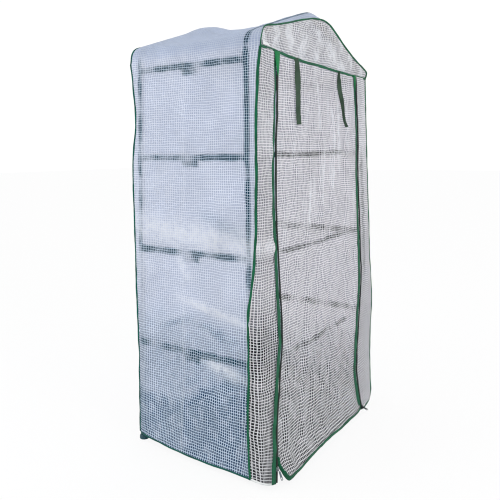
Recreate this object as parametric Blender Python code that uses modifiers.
"""Pop-up mini greenhouse: folding tube frame, four wire shelves in two halves, zipped fabric cover.

Units are metres, +Z up. The front (the zipped door) faces -Y, the left side panel faces -X.
The world origin is on the ground, in the middle of the whole object's footprint. All the pieces
hang from an empty on the ground midway between the four posts, and are placed relative to it.
"""

import math

import bmesh
import bpy

# ------------------------------------------------------------------ driving dimensions
# Names ending in _R are radii, _T thicknesses, _W widths; _X, _Y and _Z are places.
SIDES = (("left", -1), ("right", 1))     # name, sign along X
ENDS = (("rear", 1), ("front", -1))      # name, sign along Y

# Posts and arch tubes
FRAME_Y = 0.032915         # middle of the posts, set back because the cover's front leans out
POST_X = 0.4415            # post axis to centre, across
POST_Y = 0.243             # post axis to centre, front to back
TUBE_R = 0.0095
TUBE_BORE_R = TUBE_R - 0.0012
POST_Z0 = 0.0045
POST_Z1 = 1.400
SPIGOT_R = 0.0079          # swaged end of the arch tube, inside the post
SPIGOT_Z0 = 1.362
SPIGOT_Z1 = POST_Z1 + 0.0002
ARCH_Z0 = POST_Z1 + 0.0006   # where the arch tube has its full radius
EAVE_Z = 1.455             # sharp corner of the arch tube's axis above the post
ROOF_SLOPE = 0.33          # rise over run
EAVE_FILLET = 0.050
APEX_FILLET = 0.090
EAVE_STEPS = 5
APEX_STEPS = 6

# Rail brackets, rails and latch hinges
SHELF_Z = (0.361, 0.706, 1.043, 1.373)   # side rail axis at each shelf, lowest first
RAIL_H = 0.025             # side rail, on edge
RAIL_W = 0.014
PIVOT_OFF = 0.025          # post axis to the rail's pivot
PIVOT_Y = POST_Y - PIVOT_OFF
LATCH_PIN_Y = 0.020        # middle of the rail to each of the latch's two pins
HALF_RAIL = PIVOT_Y - LATCH_PIN_Y        # eye to eye
EYE_R = 0.0033
PIN_R = 0.0030
CHEEK_IN = 0.0076          # rail centre to the inside of a bracket's cheek
CHEEK_OUT = CHEEK_IN + 0.0020
CHEEK_R = 0.0110
CHEEK_ROOT = 0.0046        # post axis to the cheek's square end
PIN_LENGTH = 2 * (CHEEK_OUT + 0.0006)
ROUND_END_STEPS = 6        # on rails and cheeks
LATCH_LEN = 0.070
LATCH_DROP = 0.0325        # latch housing's underside, below the rail's axis
LATCH_SEAT = 0.0133        # channel floor, below the rail's axis
LATCH_TOP = 0.0080
LATCH_CHAMFER = 0.003

# Shelves
SHELF_BOTTOM = 0.0130      # above the rail's axis
SHELF_T = 0.0036
SHELF_X = 0.4305
SHELF_Y_OUT = 0.2290
SHELF_Y_IN = 0.0100
WIRE_W = 0.0045
CROSS_WIRES_Y = (0.0480, 0.0830, 0.1220, 0.1610, 0.1960)   # between the two edge wires
TAB_WIRES_Y = CROSS_WIRES_Y[1::2]        # these run out over the rails
TAB_X = POST_X + 0.004

# Feet
FOOT_R = 0.0170
FOOT_H = 0.035

# Cover
COVER_T = 0.0015
COVER_X = POST_X + 0.0125  # inside face of the side panels
COVER_GAP = COVER_X - POST_X
PANEL_GAP = 0.0118         # tube axis to the edge of the front and rear panels
PANEL_X = POST_X + PANEL_GAP
COVER_Y = 0.2775           # inside face of the front and rear panels
PANEL_MID_Y = COVER_Y + COVER_T / 2
COVER_OUT_Y = COVER_Y + COVER_T
COVER_Z0 = 0.020
ROOF_Z0 = 1.400            # seam between roof and side panels
TRIM_Z = 1.3855            # top of the door
FRONT_LEAN = 0.055         # how far the loose front stands out at the hem
LEAN_SLOPE = FRONT_LEAN / (TRIM_Z - COVER_Z0)
LEAN = math.atan(LEAN_SLOPE)
TOP_SEAM = 0.0005          # gap under the roof and under the front gable
SEAM = 0.0003              # gap between neighbouring pieces of the front

# Front fittings; a standoff is from the front's outside face to the piece's middle
ZIP_X0, ZIP_X1 = 0.3260, 0.3400          # inner and outer edges of a zip tape
ZIP_X = (ZIP_X0 + ZIP_X1) / 2
DOOR_X = ZIP_X0 - SEAM
HEM_Z0, HEM_Z1 = 0.010, 0.0242
HEM_T = COVER_T + 0.001
TRIM_FRONT_Y = -0.2818
TRIM_BACK_Y = -COVER_OUT_Y - 0.0006
TRIM_BELOW, TRIM_ABOVE = 0.0062, 0.0060  # the trim band's reach about the top of the door
RIBBON_X = {"left": -0.165, "right": 0.195}
RIBBON_W = 0.016
RIBBON_T = 0.0015
RIBBON_Z0 = 1.155
RIBBON_Z1 = TRIM_Z - 0.0075              # height it is hung from
RIBBON_LAP = 0.0006                      # carries on above that
RIBBON_STANDOFF = 0.0040
SLIDER_Z = 0.032
SLIDER_T = 0.0070
SLIDER_STANDOFF = 0.0041
PULL_Z = SLIDER_Z + 0.0045
PULL_T = 0.0013
PULL_STANDOFF = 0.0099

# Rotations for flat plates, which are drawn in X and Y with their thickness along Z
IN_YZ = (math.pi / 2, 0.0, math.pi / 2)  # drawn in Y and Z, thick along X
IN_XZ = (math.pi / 2, 0.0, 0.0)          # drawn in X and Z, thick along Y
IN_FRONT = (math.pi / 2 - LEAN, 0.0, 0.0)   # drawn in X and Z, foot leaning forward

# ------------------------------------------------------------------ outlines
# Foot: a cup with a flange, turned about Z. (radius, height)
FOOT_PROFILE = [
    (0.0, 0.0040), (0.0098, 0.0040), (0.0098, FOOT_H), (0.0112, FOOT_H), (0.0112, 0.0152),
    (0.0145, 0.0140), (FOOT_R, 0.0105), (FOOT_R, 0.0), (0.0, 0.0),
]
# Zip slider and pull, each about its own origin. (across, up)
SLIDER_OUTLINE = [
    (-0.0032, -0.0080), (0.0032, -0.0080), (0.0045, -0.0050), (0.0050, 0.0040),
    (0.0030, 0.0080), (-0.0030, 0.0080), (-0.0050, 0.0040), (-0.0045, -0.0050),
]
PULL_OUTLINE = [
    (-0.0030, 0.0012), (-0.0032, -0.0200), (-0.0020, -0.0235),
    (0.0020, -0.0235), (0.0032, -0.0200), (0.0030, 0.0012),
]
PULL_SLOT = [(-0.0016, -0.0190), (0.0016, -0.0190), (0.0014, -0.0060), (-0.0014, -0.0060)]


# ------------------------------------------------------------------ materials
def look(colour, roughness, metallic=0.0, alpha=1.0):
    """Principled BSDF inputs for one kind of surface."""
    return {
        "Base Color": (*colour, 1.0),
        "Roughness": roughness,
        "Metallic": metallic,
        "Alpha": alpha,
    }


TUBE_STEEL = look(colour=(0.030, 0.075, 0.070), roughness=0.42)
RAIL_STEEL = look(colour=(0.030, 0.075, 0.070), roughness=0.45)
SHELF_WIRE = look(colour=(0.035, 0.080, 0.072), roughness=0.4, metallic=0.2)
FOOT_BLACK = look(colour=(0.012, 0.016, 0.018), roughness=0.6)
LATCH_BLACK = look(colour=(0.014, 0.020, 0.022), roughness=0.5)
CLEAR_FILM = look(colour=(0.70, 0.76, 0.84), roughness=0.35, alpha=0.6)
GREEN_CLOTH = look(colour=(0.0, 0.13, 0.055), roughness=0.6)
RIBBON_CLOTH = look(colour=(0.055, 0.085, 0.062), roughness=0.8)
SLIDER_METAL = look(colour=(0.55, 0.55, 0.56), roughness=0.3, metallic=1.0)
PULL_METAL = look(colour=(0.60, 0.60, 0.61), roughness=0.28, metallic=1.0)


def paint(obj, surface):
    """Give the object a material of its own, with the object's name."""
    mat = bpy.data.materials.new(obj.name)
    mat.use_nodes = True
    bsdf = mat.node_tree.nodes["Principled BSDF"]
    for socket, value in surface.items():
        bsdf.inputs[socket].default_value = value
    obj.data.materials.clear()
    obj.data.materials.append(mat)


# ------------------------------------------------------------------ clean start
for old in list(bpy.data.objects):
    bpy.data.objects.remove(old, do_unlink=True)

parts = bpy.data.collections.new("mini_pop_up_greenhouse")
cutters = bpy.data.collections.new("cutters")
for collection in (parts, cutters):
    bpy.context.scene.collection.children.link(collection)

base = bpy.data.objects.new("greenhouse_origin", None)
base.location = (0.0, FRAME_Y, 0.0)
parts.objects.link(base)


# ------------------------------------------------------------------ helpers
def place(obj, location, rotation=(0.0, 0.0, 0.0)):
    """Hang a piece from the base."""
    parts.objects.link(obj)
    obj.location = location
    obj.rotation_euler = rotation
    obj.parent = base


def add(obj, surface, location, rotation=(0.0, 0.0, 0.0)):
    place(obj, location, rotation)
    paint(obj, surface)


def circle(x, y, radius, count):
    angles = [2 * math.pi * i / count for i in range(count)]
    return [(x + radius * math.cos(a), y + radius * math.sin(a)) for a in angles]


def arc(x, y, radius, start, end, steps):
    angles = [start + (end - start) * i / steps for i in range(steps + 1)]
    return [(x + radius * math.cos(a), y + radius * math.sin(a)) for a in angles]


def rect(x0, y0, x1, y1):
    return [(x0, y0), (x1, y0), (x1, y1), (x0, y1)]


def poly_spline(curve, count):
    spline = curve.splines.new("POLY")
    spline.points.add(count - 1)
    return spline


def flat(name, loops, thickness):
    """A flat plate with holes: closed outlines filled on both faces and extruded."""
    curve = bpy.data.curves.new(name, "CURVE")
    curve.dimensions = "2D"
    curve.fill_mode = "BOTH"
    curve.extrude = thickness / 2
    for loop in loops:
        spline = poly_spline(curve, len(loop))
        for point, (x, y) in zip(spline.points, loop):
            point.co = (x, y, 0.0, 1.0)
        spline.use_cyclic_u = True
    return bpy.data.objects.new(name, curve)


def as_mesh(obj, name):
    """Replace a placed curve with its welded mesh, so that booleans can work on it."""
    bpy.context.view_layer.update()
    graph = bpy.context.evaluated_depsgraph_get()
    mesh = bpy.data.meshes.new_from_object(obj.evaluated_get(graph))
    mesh.name = name
    bm = bmesh.new()
    bm.from_mesh(mesh)
    bmesh.ops.remove_doubles(bm, verts=bm.verts, dist=0.00002)
    bmesh.ops.recalc_face_normals(bm, faces=bm.faces)
    bm.to_mesh(mesh)
    bm.free()
    solid = bpy.data.objects.new(name, mesh)
    parts.objects.link(solid)
    solid.parent = obj.parent
    solid.matrix_world = obj.matrix_world.copy()
    bpy.data.objects.remove(obj, do_unlink=True)
    return solid


def mesh_object(name, bm):
    mesh = bpy.data.meshes.new(name)
    bm.to_mesh(mesh)
    bm.free()
    return bpy.data.objects.new(name, mesh)


def moved_verts(bm, extruded, offset):
    """Move the vertices that an extrusion has just made."""
    verts = [v for v in extruded["geom"] if isinstance(v, bmesh.types.BMVert)]
    bmesh.ops.translate(bm, vec=offset, verts=verts)


def hoop_line(offset, z_bottom):
    """The arch's axis from its left foot, over the top, to its right foot, offset outwards."""
    slope = math.atan(ROOF_SLOPE)
    eave_tangent = EAVE_FILLET * math.tan((math.pi / 2 - slope) / 2)
    left = [(-POST_X - offset, z_bottom)]
    left += arc(
        -POST_X + EAVE_FILLET, EAVE_Z - eave_tangent, EAVE_FILLET + offset,
        math.pi, math.pi / 2 + slope, EAVE_STEPS,
    )
    apex_centre_z = EAVE_Z + POST_X * ROOF_SLOPE - APEX_FILLET / math.cos(slope)
    top = arc(
        0.0, apex_centre_z, APEX_FILLET + offset,
        math.pi / 2 + slope, math.pi / 2 - slope, APEX_STEPS,
    )
    right = [(-x, z) for x, z in reversed(left)]
    return left + top + right


# ------------------------------------------------------------------ joined-on details
def helper(name, bm, x, y, z):
    """A hidden helper body, placed at a point measured from the base but not parented to it."""
    bmesh.ops.recalc_face_normals(bm, faces=bm.faces)
    obj = mesh_object(name, bm)
    cutters.objects.link(obj)
    obj.location = (x, y + FRAME_Y, z)
    obj.hide_render = True
    obj.display_type = "WIRE"
    return obj


def bracket_cheeks(name, x, y, inward):
    """The eight cheeks of one post's four rail brackets; inward is their direction along Y."""
    outline = [(CHEEK_ROOT, -CHEEK_R), (CHEEK_ROOT, CHEEK_R)]
    outline += arc(PIVOT_OFF, 0.0, CHEEK_R, math.pi / 2, -math.pi / 2, ROUND_END_STEPS)
    bm = bmesh.new()
    for shelf_z in SHELF_Z:
        for side in (-1, 1):
            x0, x1 = sorted((side * CHEEK_IN, side * CHEEK_OUT))
            verts = [bm.verts.new((x0, inward * out, shelf_z + up)) for out, up in outline]
            face = bm.faces.new(verts)
            extruded = bmesh.ops.extrude_face_region(bm, geom=[face])
            moved_verts(bm, extruded, (x1 - x0, 0.0, 0.0))
    return helper(name, bm, x, y, 0.0)


def cross_pins(name, x, y, z, places):
    """Pins that lie along X, one at each (y, z) of places, measured from x, y, z."""
    bm = bmesh.new()
    for pin_y, pin_z in places:
        made = bmesh.ops.create_cone(
            bm, cap_ends=True, segments=12, radius1=PIN_R, radius2=PIN_R, depth=PIN_LENGTH
        )
        for vert in made["verts"]:
            across, along, axial = vert.co
            vert.co = (axial, along + pin_y, across + pin_z)
    return helper(name, bm, x, y, z)


def weld(obj, other, label):
    join = obj.modifiers.new(label, "BOOLEAN")
    join.operation = "UNION"
    join.solver = "EXACT"
    join.object = other


# ------------------------------------------------------------------ posts, arch tubes and feet
def post(name, x, end):
    """A post with its welded rail brackets; end is +1 at the rear, -1 at the front."""
    y = end * POST_Y
    rings = [circle(0.0, 0.0, radius, 16) for radius in (TUBE_R, TUBE_BORE_R)]
    tube = flat(name + "_tube", rings, POST_Z1 - POST_Z0)
    place(tube, (x, y, (POST_Z0 + POST_Z1) / 2))
    tube = as_mesh(tube, name)
    weld(tube, bracket_cheeks(name + "_cheeks", x, y, -end), "cheeks")
    pivots = [(-end * PIVOT_OFF, shelf_z) for shelf_z in SHELF_Z]
    weld(tube, cross_pins(name + "_pins", x, y, 0.0, pivots), "rivets")
    paint(tube, TUBE_STEEL)


def arch(name, y):
    """A bent tube over two posts, with a thinner spigot down into each."""
    swage = SPIGOT_R / TUBE_R
    path = [(-POST_X, SPIGOT_Z0, swage), (-POST_X, SPIGOT_Z1, swage)]
    path += [(x, z, 1.0) for x, z in hoop_line(0.0, ARCH_Z0)]
    path += [(POST_X, SPIGOT_Z1, swage), (POST_X, SPIGOT_Z0, swage)]
    curve = bpy.data.curves.new(name, "CURVE")
    curve.dimensions = "3D"
    curve.bevel_depth = TUBE_R
    curve.bevel_resolution = 4
    curve.use_fill_caps = True
    for point, (x, z, scale) in zip(poly_spline(curve, len(path)).points, path):
        point.co = (x, 0.0, z, 1.0)
        point.radius = scale
    add(bpy.data.objects.new(name, curve), TUBE_STEEL, (0.0, y, 0.0))


def foot(name, x, y):
    bm = bmesh.new()
    verts = [bm.verts.new((radius, 0.0, z)) for radius, z in FOOT_PROFILE]
    for a, b in zip(verts, verts[1:]):
        bm.edges.new((a, b))
    obj = mesh_object(name, bm)
    add(obj, FOOT_BLACK, (x, y, 0.0))
    screw = obj.modifiers.new("turned", "SCREW")
    screw.axis = "Z"
    screw.steps = 16
    screw.render_steps = 16
    screw.use_merge_vertices = True
    screw.merge_threshold = 0.00005
    screw.use_normal_calculate = False
    screw.use_smooth_shade = False


# ------------------------------------------------------------------ rails, latches and shelves
def rail(name, x, z, end):
    """Half a side rail, its origin on its pivot at the post; end is +1 at the rear."""
    radius = RAIL_H / 2
    latch_eye = -end * HALF_RAIL
    low, high = sorted((0.0, latch_eye))
    quarter = math.pi / 2
    outline = arc(high, 0.0, radius, -quarter, quarter, ROUND_END_STEPS)
    outline += arc(low, 0.0, radius, quarter, 3 * quarter, ROUND_END_STEPS)
    eyes = [circle(y, 0.0, EYE_R, 12) for y in (0.0, latch_eye)]
    add(flat(name, [outline] + eyes, RAIL_W), RAIL_STEEL, (x, end * PIVOT_Y, z), IN_YZ)


def latch(name, x, z):
    """The middle hinge: a channel round both half rails, with two pins and a block below."""
    outer, inner = CHEEK_OUT, CHEEK_IN
    chamfer_x, chamfer_z = outer - LATCH_CHAMFER, -LATCH_DROP + LATCH_CHAMFER
    outline = [
        (-outer, LATCH_TOP), (-outer, chamfer_z), (-chamfer_x, -LATCH_DROP),
        (chamfer_x, -LATCH_DROP), (outer, chamfer_z), (outer, LATCH_TOP),
        (inner, LATCH_TOP), (inner, -LATCH_SEAT), (-inner, -LATCH_SEAT), (-inner, LATCH_TOP),
    ]
    channel = flat(name + "_channel", [outline], LATCH_LEN)
    place(channel, (x, 0.0, z), IN_XZ)
    channel = as_mesh(channel, name)
    places = [(-LATCH_PIN_Y, 0.0), (LATCH_PIN_Y, 0.0)]
    weld(channel, cross_pins(name + "_pins", x, 0.0, z, places), "pins")
    paint(channel, LATCH_BLACK)


def shelf_loops():
    """The rear half shelf's outline and the openings between its wires."""
    half = WIRE_W / 2
    outline = [(-SHELF_X, SHELF_Y_IN), (SHELF_X, SHELF_Y_IN)]
    for y in TAB_WIRES_Y:
        outline += [(SHELF_X, y - half), (TAB_X, y - half), (TAB_X, y + half), (SHELF_X, y + half)]
    # The left edge mirrors the right, in the opposite order.
    outline += [(SHELF_X, SHELF_Y_OUT), (-SHELF_X, SHELF_Y_OUT)]
    outline += [(-x, y) for x, y in reversed(outline[2:-2])]
    loops = [outline]
    rows = [SHELF_Y_IN + half, *CROSS_WIRES_Y, SHELF_Y_OUT - half]
    columns = [-SHELF_X + half, 0.0, SHELF_X - half]
    for y0, y1 in zip(rows, rows[1:]):
        for x0, x1 in zip(columns, columns[1:]):
            loops.append(rect(x0 + half, y0 + half, x1 - half, y1 - half))
    return loops


def half_shelf(name, rail_z, end):
    """Half a wire shelf, its origin level with the rail pivots in Y; end is +1 at the rear."""
    loops = shelf_loops()
    if end < 0:
        loops = [[(x, -y) for x, y in reversed(loop)] for loop in loops]
    pivot_y = end * PIVOT_Y
    loops = [[(x, y - pivot_y) for x, y in loop] for loop in loops]
    z = rail_z + SHELF_BOTTOM + SHELF_T / 2
    add(flat(name, loops, SHELF_T), SHELF_WIRE, (0.0, pivot_y, z))


# ------------------------------------------------------------------ cover
def roof(name):
    bm = bmesh.new()
    verts = [bm.verts.new((x, -COVER_OUT_Y, z)) for x, z in hoop_line(COVER_GAP, ROOF_Z0)]
    edges = [bm.edges.new((a, b)) for a, b in zip(verts, verts[1:])]
    extruded = bmesh.ops.extrude_edge_only(bm, edges=edges)
    moved_verts(bm, extruded, (0.0, 2 * COVER_OUT_Y, 0.0))
    bmesh.ops.recalc_face_normals(bm, faces=bm.faces)
    # An open sheet can come out facing either way; the cloth must thicken outwards.
    if sum(face.normal.z for face in bm.faces) < 0:
        bmesh.ops.reverse_faces(bm, faces=bm.faces)
    obj = mesh_object(name, bm)
    add(obj, CLEAR_FILM, (0.0, 0.0, 0.0))
    cloth = obj.modifiers.new("cloth", "SOLIDIFY")
    cloth.thickness = COVER_T
    cloth.offset = 1.0
    cloth.use_even_offset = True


def side_panel(name, side):
    """A side of the cover, with its front edge following the leaning front."""
    top = ROOF_Z0 - TOP_SEAM
    outline = [
        (-COVER_OUT_Y - FRONT_LEAN, COVER_Z0), (COVER_OUT_Y, COVER_Z0),
        (COVER_OUT_Y, top), (-COVER_OUT_Y, top), (-COVER_OUT_Y, TRIM_Z),
    ]
    x = side * (COVER_X + COVER_T / 2)
    add(flat(name, [outline], COVER_T), CLEAR_FILM, (x, 0.0, 0.0), IN_YZ)


def end_panel(name, y, z_bottom):
    """An upright panel that fills the arch from z_bottom up."""
    outline = hoop_line(PANEL_GAP, z_bottom)
    add(flat(name, [outline], COVER_T), CLEAR_FILM, (0.0, y, 0.0), IN_XZ)


def hung(name, surface, edges_x, z0, z1, thickness=COVER_T):
    """A rectangle of the leaning front, between two X edges and two heights."""
    x0, x1 = sorted(edges_x)
    stretch = 1.0 / math.cos(LEAN)
    outline = rect(x0, (z0 - TRIM_Z) * stretch, x1, (z1 - TRIM_Z) * stretch)
    add(flat(name, [outline], thickness), surface, (0.0, -PANEL_MID_Y, TRIM_Z), IN_FRONT)


def trim_band(name):
    """The band across the top of the door."""
    low = (-PANEL_X, TRIM_FRONT_Y, TRIM_Z - TRIM_BELOW)
    high = (PANEL_X, TRIM_BACK_Y, TRIM_Z + TRIM_ABOVE)
    bm = bmesh.new()
    bmesh.ops.create_cube(bm, size=1.0)
    bmesh.ops.scale(bm, vec=[b - a for a, b in zip(low, high)], verts=bm.verts)
    centre = [(a + b) / 2 for a, b in zip(low, high)]
    add(mesh_object(name, bm), GREEN_CLOTH, centre)


def front_fitting(name, surface, loops, thickness, x, z, standoff):
    """A plate parallel to the leaning front, standoff forward of its outside face at height z."""
    y = -COVER_OUT_Y - LEAN_SLOPE * (TRIM_Z - z) - standoff
    add(flat(name, loops, thickness), surface, (x, y, z), IN_FRONT)


# ------------------------------------------------------------------ build the frame
for end_name, end in ENDS:
    for side_name, side in SIDES:
        post(f"{end_name}_{side_name}_post", side * POST_X, end)
        foot(f"{end_name}_{side_name}_foot", side * POST_X, end * POST_Y)
    arch(f"{end_name}_arch_tube", end * POST_Y)

for number, shelf_z in enumerate(SHELF_Z, start=1):
    for side_name, side in SIDES:
        prefix = f"rail_{number}_{side_name}"
        for end_name, end in ENDS:
            rail(f"{prefix}_{end_name}_half", side * POST_X, shelf_z, end)
        latch(f"{prefix}_latch_hinge", side * POST_X, shelf_z)
    for end_name, end in ENDS:
        half_shelf(f"shelf_{number}_{end_name}_half", shelf_z, end)

# ------------------------------------------------------------------ build the cover
roof("cover_roof")
end_panel("cover_rear_panel", PANEL_MID_Y, COVER_Z0)
end_panel("cover_front_gable", -PANEL_MID_Y, TRIM_Z + TOP_SEAM)
hung("door_panel", CLEAR_FILM, (-DOOR_X, DOOR_X), HEM_Z1 + SEAM, TRIM_Z)
hung("door_hem", GREEN_CLOTH, (-DOOR_X, DOOR_X), HEM_Z0, HEM_Z1, HEM_T)
trim_band("front_trim_band")

ribbon = rect(-RIBBON_W / 2, RIBBON_Z0 - RIBBON_Z1, RIBBON_W / 2, RIBBON_LAP)
for side_name, side in SIDES:
    side_panel(f"cover_{side_name}_side", side)
    strip_edges = (side * PANEL_X, side * (ZIP_X1 + SEAM))
    hung(f"cover_front_{side_name}_strip", CLEAR_FILM, strip_edges, COVER_Z0, TRIM_Z)
    tape_edges = (side * ZIP_X1, side * ZIP_X0)
    hung(f"{side_name}_zip_tape", GREEN_CLOTH, tape_edges, COVER_Z0, TRIM_Z)
    front_fitting(
        f"{side_name}_tie_ribbon", RIBBON_CLOTH, [ribbon], RIBBON_T,
        x=RIBBON_X[side_name], z=RIBBON_Z1, standoff=RIBBON_STANDOFF,
    )
    front_fitting(
        f"{side_name}_zip_slider", SLIDER_METAL, [SLIDER_OUTLINE], SLIDER_T,
        x=side * ZIP_X, z=SLIDER_Z, standoff=SLIDER_STANDOFF,
    )
    front_fitting(
        f"{side_name}_zip_pull", PULL_METAL, [PULL_OUTLINE, PULL_SLOT], PULL_T,
        x=side * ZIP_X, z=PULL_Z, standoff=PULL_STANDOFF,
    )
